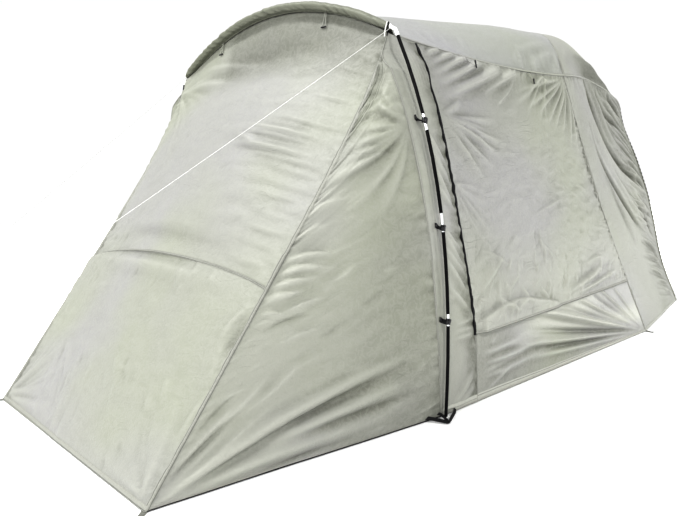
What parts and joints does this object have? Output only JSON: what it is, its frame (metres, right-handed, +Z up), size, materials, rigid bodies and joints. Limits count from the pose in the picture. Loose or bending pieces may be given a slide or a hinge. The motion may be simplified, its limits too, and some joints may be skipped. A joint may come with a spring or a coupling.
{
  "type": "tailgate awning",
  "caption": "One-hoop cloth awning for a car's open tailgate, with a closed sloping front, zipped side doors, an arched roof, a rear sleeve with an elastic mouth, and guy ropes.",
  "frame": {"origin": "on the ground, at the centre of the outline from the guy stake to the sleeve's mouth", "axes": "+Z up, -Y towards the closed front, +Y towards the car, X across the hoop"},
  "size_m": [2.8978, 6.0282, 2.1422],
  "materials": {
    "sage_cloth": "matt coated polyester",
    "shaded_cloth": "matt coated polyester, olive side",
    "black_pole": "satin black",
    "bright_metal": "plated",
    "black_plastic": "moulded",
    "black_webbing": "woven webbing",
    "white_rope": "braided"
  },
  "bodies": {
    "root": {"bow_pole": "black_pole", "bow_sleeve": "shaded_cloth", "front_lower_panel": "sage_cloth", "front_upper_panel": "sage_cloth", "roof": "sage_cloth", "sleeve_top": "sage_cloth", "mouth_elastic_hem": "shaded_cloth", "guy_stake": "bright_metal", "right_pole_section_1": "black_pole", "right_pole_section_2": "black_pole", "right_pole_section_3": "black_pole", "right_pole_section_4": "black_pole", "right_ferrule_1": "bright_metal", "right_ferrule_2": "bright_metal", "right_ferrule_3": "bright_metal", "right_elbow": "bright_metal", "right_pole_foot_tab": "black_webbing", "right_clip_1": "black_plastic", "right_clip_2": "black_plastic", "right_clip_3": "black_plastic", "right_front_gusset": "sage_cloth", "right_pole_strip": "sage_cloth", "right_side_door": "sage_cloth", "right_skirt": "sage_cloth", "right_sleeve_side": "sage_cloth", "right_front_peg_tab": "shaded_cloth", "right_rear_peg_tab": "shaded_cloth", "right_guy_rope": "white_rope", "left_pole_section_1": "black_pole", "left_pole_section_2": "black_pole", "left_pole_section_3": "black_pole", "left_pole_section_4": "black_pole", "left_ferrule_1": "bright_metal", "left_ferrule_2": "bright_metal", "left_ferrule_3": "bright_metal", "left_elbow": "bright_metal", "left_pole_foot_tab": "black_webbing", "left_clip_1": "black_plastic", "left_clip_2": "black_plastic", "left_clip_3": "black_plastic", "left_front_gusset": "sage_cloth", "left_pole_strip": "sage_cloth", "left_side_door": "sage_cloth", "left_skirt": "sage_cloth", "left_sleeve_side": "sage_cloth", "left_front_peg_tab": "shaded_cloth", "left_rear_peg_tab": "shaded_cloth", "left_guy_rope": "white_rope"}
  },
  "joints": []
}
